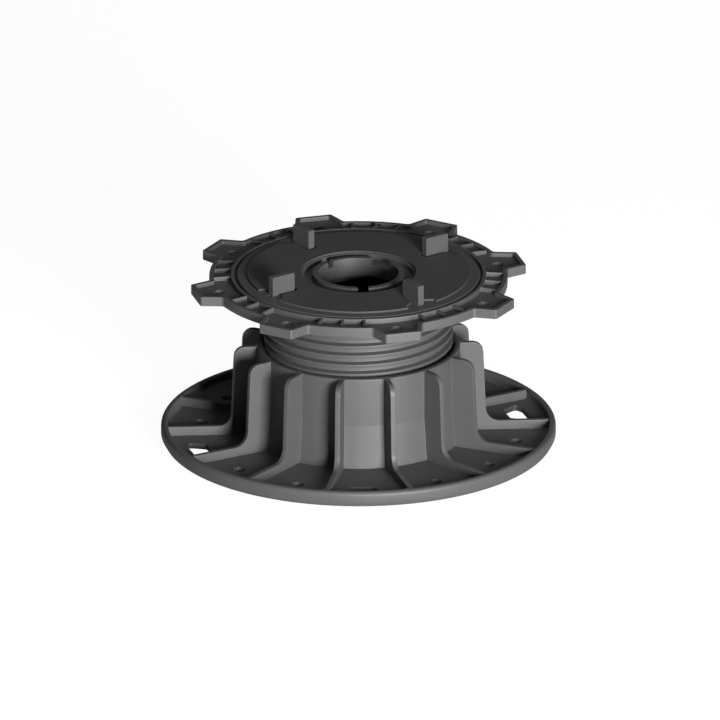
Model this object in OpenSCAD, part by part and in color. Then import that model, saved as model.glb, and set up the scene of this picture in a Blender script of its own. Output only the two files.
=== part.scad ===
// Adjustable screw pedestal for raised floors and paver decks: a ribbed base with a
// threaded cup, a hollow screw with a star-shaped head, a free-turning support disc
// with four spacer tabs, and the thin rubber pad that lies on the disc.
// Frame: +Z up, origin at the centre of the base's underside, -Y towards the front.

/* [Base] */
// Radius of the round flange
flange_r = 100; // [90:1:120]
// Thickness of the flange's floor
floor_t = 3.1; // [2:0.1:4]
// Height of the lip round the flange
lip_h = 8; // [6:0.1:11]
// Width of the lip round the flange
lip_w = 3.5; // [2.5:0.1:6]
// Height of the cup that holds the screw
cup_h = 50.8; // [45:0.2:60]
// Thickness of the cup's wall
cup_wall = 2.7; // [2:0.1:4]
// How far the cup's foot flares out
cup_flare = 2; // [0:0.5:4]
// Height at which the cup's flare begins
cup_flare_h = 25.5; // [15:0.5:35]
// Radius of the drain hole in the cup's floor
drain_r = 12; // [5:1:25]

/* [Ribs] */
// Number of ribs round the cup
rib_count = 14; // [8:1:18]
// Thickness of a rib
rib_t = 2.8; // [2:0.1:4]
// How far a rib stands out of the cup at its top
rib_reach = 11.8; // [8:0.1:16]
// Extra reach of a rib at its foot
rib_taper = 1.4; // [0:0.1:3]
// How far the cup's rim stands above the ribs
rib_drop = 0.3; // [0.1:0.1:2]
// Radius of a rib's upper corner
rib_corner_r = 5.5; // [2:0.5:7]
// Radius of the hollow between a rib's upright and its foot
rib_hollow_r = 6.5; // [3:0.5:9]

/* [Flange holes] */
// Radius of the small round holes
small_hole_r = 3; // [2:0.1:3.5]
// Radius of the circle that the small holes lie on
small_hole_ring_r = 81; // [78:0.5:86]
// Sectors between ribs that have a large opening
window_sectors = [0, 4, 7, 11];
// Turn of each large opening from the middle of its sector
window_turns = [-1.8, 1.8, -1.8, 1.8];
// Radius at which a large opening begins
window_inner_r = 79; // [76:0.5:82]
// Radius at which a large opening ends
window_outer_r = 89; // [86:0.5:92]
// Width of a large opening at its inner edge
window_inner_w = 12; // [9:0.5:14]
// Width of a large opening at its outer edge
window_outer_w = 21; // [16:0.5:23]

/* [Thread] */
// Outer radius of the screw's thread
thread_r = 48; // [44:0.5:52]
// Height of the thread above the screw's wall
thread_depth = 2.7; // [2:0.1:3.2]
// Rise in one turn
pitch = 5; // [4.6:0.1:6]
// Width of the thread at its crest
crest_w = 1.3; // [1:0.1:1.6]
// Width of the thread at its root
root_w = 2.7; // [2.3:0.1:2.9]
// Radial gap between screw and cup threads
thread_radial_gap = 0.7; // [0.5:0.05:0.9]
// Axial gap on each side of a thread
thread_axial_gap = 0.35; // [0.25:0.05:0.5]
// Whole turns of thread on the screw
screw_turns = 8; // [6:1:8]
// Whole turns of thread in the cup
cup_turns = 3; // [2:1:3]

/* [Screw and star head] */
// Height of the star's underside at the shown setting
head_z = 83; // [76:0.2:90]
// How far the screw hangs below the star's underside
skirt_len = 48.2; // [46:0.2:49]
// Thickness of the screw's wall under the thread
skirt_wall = 3.3; // [2.5:0.1:4.5]
// Thickness of the star's floor
star_floor_t = 3; // [2:0.1:4]
// Height of the star's rim above its underside
star_h = 5; // [4.5:0.1:7]
// Thickness of the star's rim
star_rim_t = 2.3; // [1.8:0.1:3.2]
// Radius of the star between its lugs
valley_r = 75.6; // [73:0.2:78]
// Number of lugs
lug_count = 8; // [6:1:8]
// Turn of the first lug from the front
lug_turn = 12.25; // [0:0.25:45]
// Distance of a lug's outer edge from the axis
lug_tip_r = 85.6; // [83:0.2:89]
// Width of a lug at its outer edge
lug_tip_w = 18.6; // [14:0.2:22]
// Sideways widening of a lug per millimetre inwards
lug_slope = 0.317; // [0.1:0.01:0.5]
// Radius of the hole in each lug
lug_hole_r = 3; // [2:0.1:4]
// Radius of the circle that the lug holes lie on
lug_hole_ring_r = 73; // [71:0.5:77]
// Radial gap between the disc and the wall round it
disc_gap = 1.3; // [0.5:0.1:2]
// Thickness of the round wall outside the disc
ring_wall_t = 1.8; // [1.2:0.1:2.6]
// Height of the round wall above the star's floor
ring_wall_h = 2.6; // [2:0.1:4]
// Thickness of the short webs between round wall and rim
web_t = 1.6; // [1:0.1:2.4]
// Turn between neighbouring webs in a valley
web_turn = 9.5; // [7:0.5:11]

/* [Support disc] */
// Radius of the support disc
disc_r = 61.7; // [59:0.1:64]
// Thickness of the support disc
disc_t = 2.5; // [2:0.1:4]
// Radius of the disc's centre recess
recess_r = 28; // [26:0.5:30]
// Outer radius of the hub tube
hub_r = 23.2; // [21:0.2:25]
// Thickness of the hub tube
hub_wall = 2.8; // [2:0.1:3.5]
// Running gap between the hub tube and its hole in the head
hub_gap = 0.1; // [0.05:0.01:0.1]
// Gap under the disc
seat_gap = 0.1; // [0.05:0.05:0.3]
// How far the hub's snap hooks stand out
hook_reach = 1.2; // [0.8:0.1:1.6]
// Angles of the slots in the hub tube
hub_slot_angles = [3, 143, -140];
// Widths of the slots in the hub tube
hub_slot_widths = [5.5, 12.5, 3.5];

/* [Spacer tabs] */
// Turn of the first tab from the front
tab_turn = 32.25; // [0:0.25:90]
// Number of tabs
tab_count = 4; // [2:1:4]
// Thickness of a tab, which sets the joint between floor panels
tab_t = 3.5; // [2:0.5:8]
// Distance of a tab's inner end from the axis
tab_inner_r = 41; // [38:0.5:44]
// Length of a tab
tab_len = 13.5; // [10:0.5:16]
// Height of a tab above the disc
tab_h = 10.2; // [6:0.2:16]
// Radius of the small relief holes at a tab's ends
relief_r = 1.2; // [0.8:0.1:1.6]

/* [Rubber pad] */
// Thickness of the pad
pad_t = 1; // [0.5:0.1:2]
// Outer radius of the pad
pad_r = 56.5; // [54:0.5:58]
// Gap between the pad's slots and a tab
pad_slot_gap = 1.6; // [1:0.1:2]
// Width of a slot's mouth at the pad's edge
pad_mouth_w = 17.4; // [14:0.2:20]

/* [Hidden] */
$fn = 96;
eps = 0.5;
thread_steps = 48;
round_steps = 4;

screw_root_r = thread_r - thread_depth;
skirt_inner_r = screw_root_r - skirt_wall;
cup_crest_r = screw_root_r + thread_radial_gap;
cup_root_r = thread_r + thread_radial_gap - 0.2;
cup_inner_r = cup_root_r + 0.3;
cup_outer_r = cup_inner_r + cup_wall;
flank = (root_w - crest_w) / thread_depth;
cup_crest_w = pitch - root_w + flank * thread_radial_gap - 2 * thread_axial_gap;
cup_root_w = cup_crest_w + flank * (cup_root_r - cup_crest_r);

skirt_bottom = head_z - skirt_len;
screw_thread_start = skirt_bottom + 2;
screw_thread_phase = screw_thread_start;
cup_thread_phase = screw_thread_phase - pitch / 2;
cup_thread_end = cup_h - cup_root_w / 2 - 0.3;
cup_thread_turn = 360 * (cup_thread_end - cup_thread_phase) / pitch - 360 * cup_turns;

star_floor_z = head_z + star_floor_t;
star_top_z = head_z + star_h;
lug_step = 360 / lug_count;
ring_wall_inner_r = disc_r + disc_gap;
ring_wall_outer_r = ring_wall_inner_r + ring_wall_t;

disc_bottom_z = star_floor_z + seat_gap;
disc_top_z = disc_bottom_z + disc_t;
pad_top_z = disc_top_z + pad_t;
hub_inner_r = hub_r - hub_wall;
boss_r = recess_r + 3;
boss_drop = 2.6;
boss_gap = 0.4;
boss_bottom_z = disc_bottom_z - boss_drop;
web_bottom_z = boss_bottom_z - seat_gap - 2;
hook_top_z = web_bottom_z - 0.3;
hook_h = 1.6;
hub_bottom_z = hook_top_z - hook_h;
sleeve_inner_r = hub_r + hook_reach + 0.6;
sleeve_bottom_z = hub_bottom_z - 5;

// ---- Small helpers ----

// A point at a turn from the front, an outward distance and a sideways distance.
function spot(turn, out, side = 0) =
    [side * cos(turn) + out * sin(turn), side * sin(turn) - out * cos(turn)];

function unit(v) = v / norm(v);

function arc(centre, r, from, to, n) =
    [for (i = [0:n]) centre + r * [cos(from + (to - from) * i / n), sin(from + (to - from) * i / n)]];

// The short arc that rounds corner p between its neighbours a and b.
function round_corner(p, a, b, r, n) =
    let (u = unit(a - p), v = unit(b - p), half = acos(u * v) / 2)
    let (c = p + unit(u + v) * r / sin(half))
    let (s = p + u * r / tan(half) - c, e = p + v * r / tan(half) - c)
    let (start = atan2(s.y, s.x), raw = atan2(e.y, e.x) - start)
    let (sweep = raw > 180 ? raw - 360 : raw < -180 ? raw + 360 : raw)
    arc(c, r, start, start + sweep, n);

// A closed outline with every corner rounded.
function rounded(points, r, n = round_steps) =
    let (count = len(points))
    [for (i = [0:count - 1])
        each round_corner(points[i], points[(i + count - 1) % count], points[(i + 1) % count], r, n)];

module at_turn(turn) {
    rotate([0, 0, turn]) children();
}

// Stands an outline drawn as (distance from axis, height) upright, facing the front.
module upright(thickness) {
    rotate([0, 0, -90])
        rotate([90, 0, 0])
            linear_extrude(height = thickness, center = true)
                children();
}

module prism(outline, bottom, top) {
    translate([0, 0, bottom])
        linear_extrude(height = top - bottom)
            polygon(outline);
}

module tube(outer_r, inner_r, bottom, top) {
    translate([0, 0, bottom])
        difference() {
            cylinder(h = top - bottom, r = outer_r);
            translate([0, 0, -eps]) cylinder(h = top - bottom + 2 * eps, r = inner_r);
        }
}

// ---- Helical thread ----

// Height of a thread over the wall, as a share, near the two ends where it fades.
function thread_fade(k, turns, part) =
    let (ramp = 1 / 12, low = 0.25)
    k == 0 && part < ramp ? low + (1 - low) * part / ramp
    : k == turns - 1 && part > 1 - ramp ? low + (1 - low) * (1 - part) / ramp
    : 1;

// The four points of thread k at a part of a turn: wall, crest, crest, wall.
function thread_points(side, z, share, wall_r, tip_r, wall_w, tip_w) =
    let (r = wall_r + (tip_r - wall_r) * share, w = wall_w + (tip_w - wall_w) * share)
    [
        [each wall_r * side, z - wall_w / 2],
        [each r * side, z - w / 2],
        [each r * side, z + w / 2],
        [each wall_r * side, z + wall_w / 2],
    ];

// A ring whose threaded face is true helical turns and whose other face is plain.
// Row after row stands round the axis, each with a bottom point, four points a turn
// and a top point. The rows repeat after one turn with each thread one place higher,
// so the last strip of faces joins row 0 with its thread numbers moved up by one.
module threaded_ring(start, phase, turns, wall_r, tip_r, wall_w, tip_w, plain_r, bottom, top) {
    function side(part) = [sin(start + 360 * part), -cos(start + 360 * part)];
    function height(k, part) = phase + pitch * (k + part + start / 360);
    function thread(k, part) =
        thread_points(side(part), height(k, part), thread_fade(k, turns, part), wall_r, tip_r, wall_w, tip_w);

    steps = thread_steps;
    last = steps - 1;
    top_at = 4 * turns + 1;
    high = top_at - 1;
    size = top_at + 1;
    tail_at = steps * size;
    plain_at = tail_at + 4;
    points = [
        for (i = [0:last])
            let (part = i / steps)
            each [
                [each wall_r * side(part), bottom],
                for (k = [0:turns - 1]) each thread(k, part),
                [each wall_r * side(part), top],
            ],
        each thread(turns - 1, 1),
        for (i = [0:last])
            each [
                [each plain_r * side(i / steps), bottom],
                [each plain_r * side(i / steps), top],
            ],
    ];

    // Number of point j in row i, where the row after the last is row 0 moved up.
    function at(i, j) =
        i < steps ? i * size + j
        : j + 4 < top_at ? j + 4
        : tail_at + j + 4 - top_at;
    function plain(i, j) = plain_at + 2 * (i % steps) + j;
    function row(i) = (i % steps) * size;

    threaded = [
        for (i = [0:last])
            for (j = [1:high - 1])
                each j % 2 == 0
                    ? [[at(i, j), at(i + 1, j), at(i + 1, j + 1), at(i, j + 1)]]
                    : [
                        [at(i, j), at(i + 1, j), at(i + 1, j + 1)],
                        [at(i, j), at(i + 1, j + 1), at(i, j + 1)],
                    ],
    ];
    below = [
        for (i = [0:last - 1]) [row(i), row(i + 1), row(i + 1) + 1, row(i) + 1],
        [row(last), 0, 1, 4, 5, row(last) + 1],
    ];
    above = [
        [size + high, size + top_at, top_at, tail_at + 3, tail_at, high],
        for (i = [1:last - 1]) [row(i) + high, row(i + 1) + high, row(i + 1) + top_at, row(i) + top_at],
        [row(last) + high, tail_at + 3, top_at, row(last) + top_at],
    ];
    caps = [
        [1, 2, 3, 4],
        [tail_at + 3, tail_at + 2, tail_at + 1, tail_at],
    ];
    rest = [
        for (i = [0:last])
            each [
                [plain(i, 0), plain(i + 1, 0), row(i + 1), row(i)],
                [row(i) + top_at, row(i + 1) + top_at, plain(i + 1, 1), plain(i, 1)],
                [plain(i, 0), plain(i, 1), plain(i + 1, 1), plain(i + 1, 0)],
            ],
    ];
    faces = concat(threaded, below, above, caps, rest);
    polyhedron(points, tip_r > wall_r ? [for (f = faces) [for (i = [len(f):-1:1]) f[i % len(f)]]] : faces);
}

// ---- Base ----

// Section of the flange, its lip, the flared cup and the cup's floor.
function base_section() =
    let (edge_r = 1.8, inner_lip_r = flange_r - lip_w, under = 1.6, fillet_r = 1.5)
    [
        [drain_r, 0],
        [flange_r - under, 0],
        [flange_r, under * 1.75],
        each arc([flange_r - edge_r, lip_h - edge_r], edge_r, 0, 90, round_steps),
        each arc([inner_lip_r + 0.6, lip_h - 0.6], 0.6, 90, 180, 2),
        each arc([inner_lip_r - fillet_r, floor_t + fillet_r], fillet_r, 0, -90, round_steps),
        [cup_outer_r + cup_flare, floor_t],
        [cup_outer_r, cup_flare_h],
        [cup_outer_r, cup_h - 0.5],
        [cup_outer_r - 0.5, cup_h],
        [cup_inner_r + 0.5, cup_h],
        [cup_inner_r, cup_h - 0.5],
        [cup_inner_r, floor_t],
        [drain_r, floor_t],
    ];

// Outline of a rib: an upright with a rounded corner, a hollow and a long low foot.
function rib_outline() =
    let (top_r = cup_outer_r + rib_reach, top_z = cup_h - rib_drop)
    let (foot_r = top_r + rib_taper, foot_z = lip_h - rib_drop)
    let (start = cup_inner_r + 0.7 * cup_wall, lean = atan2(rib_taper, top_z - foot_z))
    [
        [start, floor_t / 2],
        [flange_r - lip_w / 2, floor_t / 2],
        [flange_r - lip_w / 2, foot_z - 0.4],
        [flange_r - lip_w, foot_z],
        each arc([foot_r + rib_hollow_r, foot_z + rib_hollow_r], rib_hollow_r, 270, 180 + lean, round_steps),
        each arc([top_r - rib_corner_r, top_z - rib_corner_r], rib_corner_r, 0, 90, round_steps),
        [start, top_z],
    ];

function window_outline(turn) =
    rounded([
        spot(turn, window_inner_r, -window_inner_w / 2),
        spot(turn, window_inner_r, window_inner_w / 2),
        spot(turn, window_outer_r - 2, window_outer_w / 2),
        spot(turn, window_outer_r, 0.3 * window_outer_w),
        spot(turn, window_outer_r, -0.3 * window_outer_w),
        spot(turn, window_outer_r - 2, -window_outer_w / 2),
    ], 1.5);

module base() {
    sector = 360 / rib_count;
    color([0.13, 0.13, 0.13])
    difference() {
        union() {
            rotate_extrude() polygon(base_section());
            for (i = [0:rib_count - 1])
                at_turn(sector * (i + 0.5)) upright(rib_t) polygon(rib_outline());
            threaded_ring(cup_thread_turn, cup_thread_phase, cup_turns, cup_root_r, cup_crest_r,
                cup_root_w, cup_crest_w, cup_inner_r + 0.4 * cup_wall,
                cup_thread_phase + pitch * cup_thread_turn / 360 - cup_root_w / 2 - 1, cup_h - 0.1);
        }
        for (i = [0:rib_count - 1])
            if (len(search(i, window_sectors)) == 0)
                at_turn(sector * i)
                    translate([0, -small_hole_ring_r, -eps])
                        cylinder(h = floor_t + 2 * eps, r = small_hole_r);
        for (k = [0:len(window_sectors) - 1])
            prism(window_outline(sector * window_sectors[k] + window_turns[k]), -eps, floor_t + eps);
    }
}

// ---- Screw with star head ----

// Half the width of a lug at an outward distance, its side moved in by inset.
function lug_half(out, inset) =
    lug_tip_w / 2 + (lug_tip_r - out) * lug_slope - inset * sqrt(1 + lug_slope * lug_slope);

// Outward distance at which a lug's side meets the round valley.
function lug_root(inset) =
    let (a = lug_half(0, inset), q = 1 + lug_slope * lug_slope, r = valley_r - inset)
    (a * lug_slope + sqrt(a * a * lug_slope * lug_slope - q * (a * a - r * r))) / q;

function star_outline(inset, tip_round) =
    let (root = lug_root(inset), tip = lug_tip_r - inset, valley = valley_r - inset)
    let (root_half = lug_half(root, inset), tip_half = lug_half(tip, inset))
    let (root_turn = atan2(root_half, root), gap = lug_step - 2 * root_turn, n = 5)
    [for (k = [0:lug_count - 1])
        let (turn = lug_turn + lug_step * k)
        let (before = spot(turn - root_turn - gap / n, valley), after = spot(turn + root_turn + gap / n, valley))
        let (root_a = spot(turn, root, -root_half), tip_a = spot(turn, tip, -tip_half))
        let (tip_b = spot(turn, tip, tip_half), root_b = spot(turn, root, root_half))
        each [
            each round_corner(root_a, before, tip_a, 2, 3),
            each round_corner(tip_a, root_a, tip_b, tip_round, 3),
            each round_corner(tip_b, tip_a, root_b, tip_round, 3),
            each round_corner(root_b, tip_b, after, 2, 3),
            for (i = [1:n - 1]) spot(turn + root_turn + gap * i / n, valley),
        ]];

// Side view of a short web that joins the round wall to the star's rim.
function web_outline() =
    [
        [ring_wall_outer_r - ring_wall_t / 2, star_floor_z - star_floor_t / 2],
        [valley_r - star_rim_t / 2, star_floor_z - star_floor_t / 2],
        [valley_r - star_rim_t / 2, star_top_z - 0.2],
        [ring_wall_outer_r - ring_wall_t / 2, star_floor_z + ring_wall_h - 0.1],
    ];

// The star: a tray with a raised rim, the round wall, webs and a hole in each lug.
module star_tray() {
    difference() {
        prism(star_outline(0, 1.2), head_z, star_top_z);
        prism(star_outline(star_rim_t, 0.6), star_floor_z, star_top_z + eps);
        for (k = [0:lug_count - 1])
            at_turn(lug_turn + lug_step * k)
                translate([0, -lug_hole_ring_r, head_z - eps])
                    cylinder(h = star_floor_t + 2 * eps, r = lug_hole_r);
    }
    tube(ring_wall_outer_r, ring_wall_inner_r, star_floor_z - star_floor_t / 2,
        star_floor_z + ring_wall_h);
    for (k = [0:lug_count - 1])
        for (side = [-1:1])
            at_turn(lug_turn + lug_step * (k + 0.5) + web_turn * side)
                upright(web_t) polygon(web_outline());
}

module screw_head() {
    color([0.15, 0.15, 0.15])
    difference() {
        union() {
            star_tray();
            translate([0, 0, web_bottom_z])
                cylinder(h = star_floor_z - web_bottom_z, r = skirt_inner_r + skirt_wall / 2);
            tube(sleeve_inner_r + 2, sleeve_inner_r, sleeve_bottom_z, web_bottom_z + eps);
            threaded_ring(0, screw_thread_phase, screw_turns, screw_root_r, thread_r, root_w,
                crest_w, skirt_inner_r, skirt_bottom, head_z + star_floor_t / 2);
        }
        translate([0, 0, web_bottom_z - eps])
            cylinder(h = star_floor_z - web_bottom_z + 2 * eps, r = hub_r + hub_gap);
        translate([0, 0, boss_bottom_z - seat_gap])
            cylinder(h = boss_drop + seat_gap + 2 * eps, r = boss_r + boss_gap);
    }
}

// ---- Support disc ----

// Section of the disc: plate, recessed boss, hub tube and snap hook.
function disc_section() =
    [
        [hub_inner_r, hub_bottom_z],
        [hub_r + 0.2, hub_bottom_z],
        [hub_r + hook_reach, hook_top_z - 0.5],
        [hub_r + hook_reach, hook_top_z],
        [hub_r, hook_top_z],
        [hub_r, boss_bottom_z],
        [boss_r, boss_bottom_z],
        [boss_r, disc_bottom_z],
        [disc_r, disc_bottom_z],
        [disc_r, disc_top_z - 0.4],
        [disc_r - 0.4, disc_top_z],
        [recess_r + 0.6, disc_top_z],
        [recess_r, disc_top_z - 0.6],
        [recess_r, boss_bottom_z + 2.4],
        [hub_r, boss_bottom_z + 2.4],
        [hub_r, pad_top_z - 0.4],
        [hub_inner_r, pad_top_z - 0.4],
    ];

function tab_outline() =
    let (outer = tab_inner_r + tab_len, top = disc_top_z + tab_h, foot = disc_top_z - disc_t / 2)
    [
        [tab_inner_r, foot],
        [outer, foot],
        each arc([outer - 0.8, top - 0.8], 0.8, 0, 90, 3),
        each arc([tab_inner_r + 0.8, top - 0.8], 0.8, 90, 180, 3),
    ];

module support_disc() {
    color([0.16, 0.16, 0.16])
    difference() {
        union() {
            rotate_extrude() polygon(disc_section());
            for (k = [0:tab_count - 1])
                at_turn(tab_turn + 360 / tab_count * k) upright(tab_t) polygon(tab_outline());
        }
        for (k = [0:tab_count - 1])
            at_turn(tab_turn + 360 / tab_count * k)
                for (out = [tab_inner_r - relief_r, tab_inner_r + tab_len + relief_r])
                    translate([0, -out, disc_bottom_z - eps])
                        cylinder(h = disc_t + 2 * eps, r = relief_r);
        for (k = [0:len(hub_slot_angles) - 1])
            at_turn(hub_slot_angles[k])
                translate([-hub_slot_widths[k] / 2, -hub_r - 0.5, boss_bottom_z + 2.4])
                    cube([hub_slot_widths[k], hub_wall + 1.5, pad_top_z]);
    }
}

// ---- Rubber pad ----

// Slot that clears a tab and opens out at the pad's edge.
function pad_slot() =
    let (half = tab_t / 2 + pad_slot_gap, mouth = pad_mouth_w / 2, end = tab_inner_r - 2)
    concat(
        [for (a = [-90:22.5:90]) [half * sin(a), -(end + half * (1 - cos(a)))]],
        [
            [half, -(pad_r - 6)],
            [mouth, -(pad_r - 3)],
            [mouth, -(pad_r + 2)],
            [-mouth, -(pad_r + 2)],
            [-mouth, -(pad_r - 3)],
            [-half, -(pad_r - 6)],
        ]
    );

module rubber_pad() {
    color([0.1, 0.1, 0.1])
    difference() {
        tube(pad_r, recess_r + 1.2, disc_top_z, pad_top_z);
        for (k = [0:tab_count - 1])
            at_turn(tab_turn + 360 / tab_count * k)
                prism(pad_slot(), disc_top_z - eps, pad_top_z + eps);
    }
}

base();
screw_head();
support_disc();
rubber_pad();
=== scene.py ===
"""Adjustable screw pedestal in black moulded plastic, dressed for its studio picture."""

from __future__ import annotations

import logging
import math
from dataclasses import dataclass, field
from enum import Enum

import bpy
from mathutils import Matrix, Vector

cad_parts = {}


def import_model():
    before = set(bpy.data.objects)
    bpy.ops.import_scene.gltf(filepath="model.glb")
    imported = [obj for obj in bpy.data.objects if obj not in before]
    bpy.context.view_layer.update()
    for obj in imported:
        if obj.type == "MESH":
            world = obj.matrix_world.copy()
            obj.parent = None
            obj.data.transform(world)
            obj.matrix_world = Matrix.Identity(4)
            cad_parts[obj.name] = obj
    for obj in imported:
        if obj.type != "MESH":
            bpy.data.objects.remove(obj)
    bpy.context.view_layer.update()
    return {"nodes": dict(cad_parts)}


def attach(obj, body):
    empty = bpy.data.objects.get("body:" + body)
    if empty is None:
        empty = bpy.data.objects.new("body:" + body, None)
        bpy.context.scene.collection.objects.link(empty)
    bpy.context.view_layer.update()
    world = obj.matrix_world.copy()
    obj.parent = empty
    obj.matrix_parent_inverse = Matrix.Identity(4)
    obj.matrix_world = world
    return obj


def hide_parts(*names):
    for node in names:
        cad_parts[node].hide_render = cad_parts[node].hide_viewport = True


LOG = logging.getLogger("pedestal")
MM = 0.001


class Surface(Enum):
    """Grain that the mould leaves on a face, as its size and its depth in metres."""

    SATIN = (0.6 * MM, 0.010 * MM)
    FINE_SATIN = (0.4 * MM, 0.007 * MM)
    MATT = (0.5 * MM, 0.030 * MM)

    @property
    def grain_size(self) -> float:
        """Distance from one grain to the next."""
        return self.value[0]

    @property
    def grain_depth(self) -> float:
        """Height of a grain."""
        return self.value[1]


def deselect_all() -> None:
    """Leave nothing selected, so that an operator acts only on what is picked next."""
    if bpy.context.object and bpy.context.object.mode != "OBJECT":
        bpy.ops.object.mode_set(mode="OBJECT")
    bpy.ops.object.select_all(action="DESELECT")


def pick(piece: bpy.types.Object) -> None:
    """Select one object alone and make it active.

    Args:
        piece: The object that the next operator works on.
    """
    deselect_all()
    piece.select_set(True)
    bpy.context.view_layer.objects.active = piece


class NodeSheet:
    """A material's node tree with short calls for adding and joining nodes."""

    def __init__(self, name: str) -> None:
        """Start an empty material.

        Args:
            name: Name of the material.
        """
        self.material = bpy.data.materials.new(name)
        self.material.use_nodes = True
        self.tree = self.material.node_tree
        self.tree.nodes.clear()

    def add(self, kind: str, **values: object) -> bpy.types.Node:
        """Add a node and set its sockets or properties by name.

        Args:
            kind: Blender's type name of the node.
            values: Socket defaults, with underscores for blanks, or properties.

        Returns:
            The new node.
        """
        node = self.tree.nodes.new(kind)
        for key, value in values.items():
            socket = key.replace("_", " ")
            if socket in node.inputs:
                node.inputs[socket].default_value = value
            else:
                setattr(node, key, value)
        return node

    def join(self, source: bpy.types.NodeSocket, target: bpy.types.NodeSocket) -> None:
        """Link an output to an input."""
        self.tree.links.new(source, target)

    def noise(self, coordinates: bpy.types.NodeSocket, size: float, detail: float) -> bpy.types.NodeSocket:
        """Add a noise texture on the given coordinates.

        Args:
            coordinates: Where the texture is read.
            size: Length of a wave in metres.
            detail: Number of finer layers.

        Returns:
            The noise's value, from 0 to 1.
        """
        node = self.add("ShaderNodeTexNoise", Scale=1 / size, Detail=detail, Roughness=0.55)
        self.join(coordinates, node.inputs["Vector"])
        return node.outputs["Fac"]


@dataclass(frozen=True)
class MouldedFinish:
    """Injection-moulded plastic or rubber, dyed through, with a fine tool grain."""

    name: str
    colour: tuple[float, float, float]
    roughness: float
    surface: Surface
    specular: float = 0.5
    ior: float = 1.49
    mottling: float = 0.12
    flow_size: float = 30 * MM
    handling_size: float = 9 * MM
    gloss_less: float = 0.04
    gloss_more: float = 0.05
    grain_strength: float = 0.5

    def material(self) -> bpy.types.Material:
        """Build the node material for this finish.

        Returns:
            The finished material.
        """
        sheet = NodeSheet(self.name)
        place = sheet.add("ShaderNodeTexCoord").outputs["Object"]
        shader = sheet.add("ShaderNodeBsdfPrincipled", IOR=self.ior, Specular_IOR_Level=self.specular)
        sheet.join(self.tint(sheet, place), shader.inputs["Base Color"])
        sheet.join(self.gloss(sheet, place), shader.inputs["Roughness"])
        sheet.join(self.grain(sheet, place), shader.inputs["Normal"])
        output = sheet.add("ShaderNodeOutputMaterial")
        sheet.join(shader.outputs["BSDF"], output.inputs["Surface"])
        return sheet.material

    def tint(self, sheet: NodeSheet, place: bpy.types.NodeSocket) -> bpy.types.NodeSocket:
        """Mottle the colour as the melt's flow does.

        Args:
            sheet: The material's nodes.
            place: Coordinates of the pattern.

        Returns:
            The colour.
        """
        dark = tuple(channel * (1 - self.mottling) for channel in self.colour)
        light = tuple(channel * (1 + self.mottling) for channel in self.colour)
        tint = sheet.add("ShaderNodeMix", data_type="RGBA")
        tint.inputs["A"].default_value = (*dark, 1.0)
        tint.inputs["B"].default_value = (*light, 1.0)
        sheet.join(sheet.noise(place, self.flow_size, 3.0), tint.inputs["Factor"])
        return tint.outputs["Result"]

    def gloss(self, sheet: NodeSheet, place: bpy.types.NodeSocket) -> bpy.types.NodeSocket:
        """Vary the gloss as handling does.

        Args:
            sheet: The material's nodes.
            place: Coordinates of the pattern.

        Returns:
            The roughness.
        """
        gloss = sheet.add(
            "ShaderNodeMapRange",
            From_Min=0.3,
            From_Max=0.7,
            To_Min=self.roughness - self.gloss_less,
            To_Max=self.roughness + self.gloss_more,
        )
        sheet.join(sheet.noise(place, self.handling_size, 4.0), gloss.inputs["Value"])
        return gloss.outputs["Result"]

    def grain(self, sheet: NodeSheet, place: bpy.types.NodeSocket) -> bpy.types.NodeSocket:
        """Raise the fine grain of the mould.

        Args:
            sheet: The material's nodes.
            place: Coordinates of the pattern.

        Returns:
            The normal.
        """
        bump = sheet.add("ShaderNodeBump", Strength=self.grain_strength, Distance=self.surface.grain_depth)
        sheet.join(sheet.noise(place, self.surface.grain_size, 2.0), bump.inputs["Height"])
        return bump.outputs["Normal"]


BASE_PLASTIC = MouldedFinish("black_base_polypropylene", (0.056, 0.056, 0.057), 0.56, Surface.SATIN)
SCREW_PLASTIC = MouldedFinish("black_screw_polypropylene", (0.054, 0.054, 0.055), 0.54, Surface.SATIN)
DISC_PLASTIC = MouldedFinish("black_disc_polypropylene", (0.050, 0.050, 0.051), 0.52, Surface.FINE_SATIN)
PAD_RUBBER = MouldedFinish("black_pad_rubber", (0.042, 0.042, 0.043), 0.66, Surface.MATT, specular=0.35)


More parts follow.
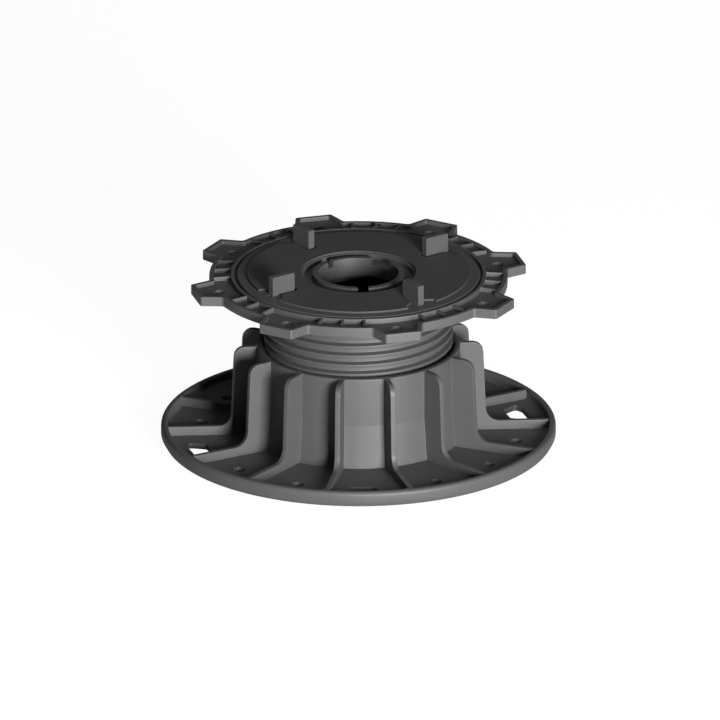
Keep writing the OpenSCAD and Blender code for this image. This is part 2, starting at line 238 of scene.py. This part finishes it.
@dataclass
class Moulding:
    """One injection moulding, with the small radius that its tool leaves on each edge."""

    node: str
    body: str
    slot: str
    finish: MouldedFinish
    edge_radius: float
    edge_angle: float = 34.0
    edge_steps: int = 2
    narrow_corners: bool = False
    smooth_angle: float = 40.0
    merge_gap: float = 0.01 * MM
    plane_angle: float = 0.6
    piece: bpy.types.Object | None = field(default=None, init=False)

    def build(self, nodes: dict[str, bpy.types.Object]) -> bpy.types.Object:
        """Make the moulding with rounded edges from its plain solid.

        Args:
            nodes: The solids by name.

        Returns:
            The finished piece, riding on its body.
        """
        self.piece = self.copy_solid(nodes[self.node])
        self.clean()
        self.round_edges()
        self.smooth()
        self.flatten()
        self.dress()
        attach(self.piece, self.body)
        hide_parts(self.node)
        LOG.info("%s: %d faces", self.piece.name, len(self.piece.data.polygons))
        return self.piece

    def copy_solid(self, solid: bpy.types.Object) -> bpy.types.Object:
        """Copy a solid's mesh into a free object at the origin.

        Args:
            solid: The plain solid.

        Returns:
            The copy.
        """
        mesh = solid.data.copy()
        mesh.materials.clear()
        piece = bpy.data.objects.new(self.node + "_moulding", mesh)
        bpy.context.scene.collection.objects.link(piece)
        return piece

    def clean(self) -> None:
        """Join the loose triangles and merge those that lie in one plane."""
        pick(self.piece)
        bpy.ops.mesh.customdata_custom_splitnormals_clear()
        bpy.ops.object.mode_set(mode="EDIT")
        bpy.ops.mesh.select_all(action="SELECT")
        bpy.ops.mesh.remove_doubles(threshold=self.merge_gap)
        bpy.ops.mesh.dissolve_limited(angle_limit=math.radians(self.plane_angle), delimit=set())
        bpy.ops.object.mode_set(mode="OBJECT")

    def round_edges(self) -> None:
        """Round each sharp edge by the tool's radius."""
        pick(self.piece)
        bevel = self.piece.modifiers.new("tool_radius", "BEVEL")
        bevel.width = self.edge_radius
        bevel.segments = self.edge_steps
        bevel.limit_method = "ANGLE"
        bevel.angle_limit = math.radians(self.edge_angle)
        bevel.use_clamp_overlap = self.narrow_corners
        bevel.miter_outer = "MITER_ARC"
        bpy.ops.object.modifier_apply(modifier=bevel.name)

    def smooth(self) -> None:
        """Shade the curved faces smooth."""
        pick(self.piece)
        bpy.ops.object.shade_smooth_by_angle(angle=math.radians(self.smooth_angle))

    def flatten(self) -> None:
        """Let the large faces set the normals, so that they stay flat beside their rounded edges."""
        pick(self.piece)
        normals = self.piece.modifiers.new("large_faces_first", "WEIGHTED_NORMAL")
        normals.mode = "FACE_AREA"
        normals.keep_sharp = True
        bpy.ops.object.modifier_apply(modifier=normals.name)

    def dress(self) -> None:
        """Put the finish on every face."""
        self.piece.data.materials.clear()
        self.piece.data.materials.append(self.finish.material())


@dataclass
class Base(Moulding):
    """The ribbed flange with its threaded cup."""

    node: str = "base"
    body: str = "base"
    slot: str = "base_plastic"
    finish: MouldedFinish = BASE_PLASTIC
    edge_radius: float = 0.45 * MM
    flare_top: float = 25.5 * MM
    crease_reach: float = 0.05 * MM

    def smooth(self) -> None:
        """Shade the curved faces smooth, with a crisp line where the cup's foot starts to flare."""
        pick(self.piece)
        bpy.ops.object.mode_set(mode="EDIT")
        bpy.ops.mesh.select_mode(type="EDGE")
        bpy.ops.mesh.select_all(action="DESELECT")
        bpy.ops.object.mode_set(mode="OBJECT")
        mesh = self.piece.data
        for edge in mesh.edges:
            heights = (mesh.vertices[i].co.z for i in edge.vertices)
            edge.select = all(abs(height - self.flare_top) < self.crease_reach for height in heights)
        bpy.ops.object.mode_set(mode="EDIT")
        bpy.ops.mesh.mark_sharp()
        bpy.ops.object.mode_set(mode="OBJECT")
        bpy.ops.object.shade_smooth_by_angle(angle=math.radians(self.smooth_angle), keep_sharp_edges=True)


@dataclass
class ScrewHead(Moulding):
    """The hollow screw with its star-shaped tray."""

    node: str = "screw_head"
    body: str = "screw"
    slot: str = "screw_plastic"
    finish: MouldedFinish = SCREW_PLASTIC
    edge_radius: float = 0.3 * MM


@dataclass
class SupportDisc(Moulding):
    """The disc with its four spacer tabs and its snap-in hub."""

    node: str = "support_disc"
    body: str = "disc"
    slot: str = "disc_plastic"
    finish: MouldedFinish = DISC_PLASTIC
    edge_radius: float = 0.3 * MM
    narrow_corners: bool = True


@dataclass
class RubberPad(Moulding):
    """The thin pad that lies on the disc."""

    node: str = "rubber_pad"
    body: str = "disc"
    slot: str = "pad_rubber"
    finish: MouldedFinish = PAD_RUBBER
    edge_radius: float = 0.15 * MM
    narrow_corners: bool = True


def direction(turn: float, rise: float) -> Vector:
    """Point away from the pedestal.

    Args:
        turn: Degrees round from the front, to the right.
        rise: Degrees above the floor.

    Returns:
        The unit vector.
    """
    a, e = math.radians(turn), math.radians(rise)
    return Vector((math.sin(a) * math.cos(e), -math.cos(a) * math.cos(e), math.sin(e)))


@dataclass(frozen=True)
class SoftLamp:
    """A square soft lamp that faces the pedestal."""

    name: str
    turn: float
    rise: float
    distance: float
    width: float
    power: float
    aim_height: float = 50 * MM

    def hang(self) -> None:
        """Hang the lamp at its distance, turned to the pedestal."""
        away = direction(self.turn, self.rise)
        light = bpy.data.lights.new(self.name, "AREA")
        light.shape = "SQUARE"
        light.size = self.width
        light.energy = self.power
        lamp = bpy.data.objects.new(self.name, light)
        lamp.location = Vector((0, 0, self.aim_height)) + away * self.distance
        lamp.rotation_euler = away.to_track_quat("Z", "Y").to_euler()
        bpy.context.scene.collection.objects.link(lamp)


@dataclass
class Studio:
    """A pale floor, soft lamps and the camera."""

    camera_turn: float = -3.26
    camera_rise: float = 21.1
    camera_distance: float = 1.2
    view_width: float = 364.6 * MM
    aim_side: float = 0.785 * MM
    aim_height: float = 41.6 * MM
    shade: float = 0.07
    floor_size: float = 8.0
    floor_drop: float = 0.3 * MM
    floor_colour: float = 0.7
    floor_glow: float = 1.08
    glow_share: float = 0.88
    lamps: tuple[SoftLamp, ...] = (
        SoftLamp("key", turn=17, rise=10, distance=2.2, width=0.6, power=122),
        SoftLamp("top", turn=10, rise=75, distance=1.5, width=1.0, power=5),
    )

    def build(self) -> None:
        """Set out the floor, the lamps, the world and the camera."""
        self.floor()
        for lamp in self.lamps:
            lamp.hang()
        self.world()
        self.camera()

    def floor(self) -> None:
        """Lay the pale floor, which glows white to the camera and still takes the shadow."""
        deselect_all()
        bpy.ops.mesh.primitive_plane_add(size=self.floor_size, location=(0, 0, -self.floor_drop))
        floor = bpy.context.object
        floor.name = "floor"
        sheet = NodeSheet("pale_floor")
        matt = sheet.add("ShaderNodeBsdfDiffuse", Color=(*[self.floor_colour] * 3, 1.0))
        glow = sheet.add("ShaderNodeEmission", Color=(1.0, 1.0, 1.0, 1.0), Strength=self.floor_glow)
        seen = sheet.add("ShaderNodeLightPath").outputs["Is Camera Ray"]
        share = sheet.add("ShaderNodeMath", operation="MULTIPLY")
        share.inputs[1].default_value = self.glow_share
        sheet.join(seen, share.inputs[0])
        blend = sheet.add("ShaderNodeMixShader")
        sheet.join(share.outputs[0], blend.inputs[0])
        sheet.join(matt.outputs[0], blend.inputs[1])
        sheet.join(glow.outputs[0], blend.inputs[2])
        output = sheet.add("ShaderNodeOutputMaterial")
        sheet.join(blend.outputs[0], output.inputs["Surface"])
        floor.data.materials.append(sheet.material)

    def world(self) -> None:
        """Give the world a white background and a soft grey light."""
        world = bpy.data.worlds.new("studio")
        bpy.context.scene.world = world
        world.use_nodes = True
        tree = world.node_tree
        tree.nodes.clear()
        path = tree.nodes.new("ShaderNodeLightPath")
        level = tree.nodes.new("ShaderNodeMapRange")
        level.inputs["To Min"].default_value = self.shade
        level.inputs["To Max"].default_value = 1.0
        background = tree.nodes.new("ShaderNodeBackground")
        output = tree.nodes.new("ShaderNodeOutputWorld")
        tree.links.new(path.outputs["Is Camera Ray"], level.inputs["Value"])
        tree.links.new(level.outputs["Result"], background.inputs["Strength"])
        tree.links.new(background.outputs["Background"], output.inputs["Surface"])

    def camera(self) -> None:
        """Place the camera with parallel projection."""
        back = direction(self.camera_turn, self.camera_rise)
        turn = math.radians(self.camera_turn)
        right = Vector((math.cos(turn), math.sin(turn), 0))
        data = bpy.data.cameras.new("camera")
        data.type = "ORTHO"
        data.ortho_scale = self.view_width
        camera = bpy.data.objects.new("camera", data)
        aim = right * self.aim_side + Vector((0, 0, self.aim_height))
        camera.location = aim + back * self.camera_distance
        camera.rotation_euler = back.to_track_quat("Z", "Y").to_euler()
        bpy.context.scene.collection.objects.link(camera)
        bpy.context.scene.camera = camera


def main() -> None:
    """Build the pedestal and its studio and report each piece."""
    logging.basicConfig(level=logging.INFO, format="%(message)s")
    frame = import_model()
    scene = bpy.context.scene
    scene.view_settings.view_transform = "Standard"
    mouldings: list[Moulding] = [Base(), ScrewHead(), SupportDisc(), RubberPad()]
    for moulding in mouldings:
        moulding.build(frame["nodes"])
    Studio().build()
    deselect_all()


if __name__ == "__main__":
    main()
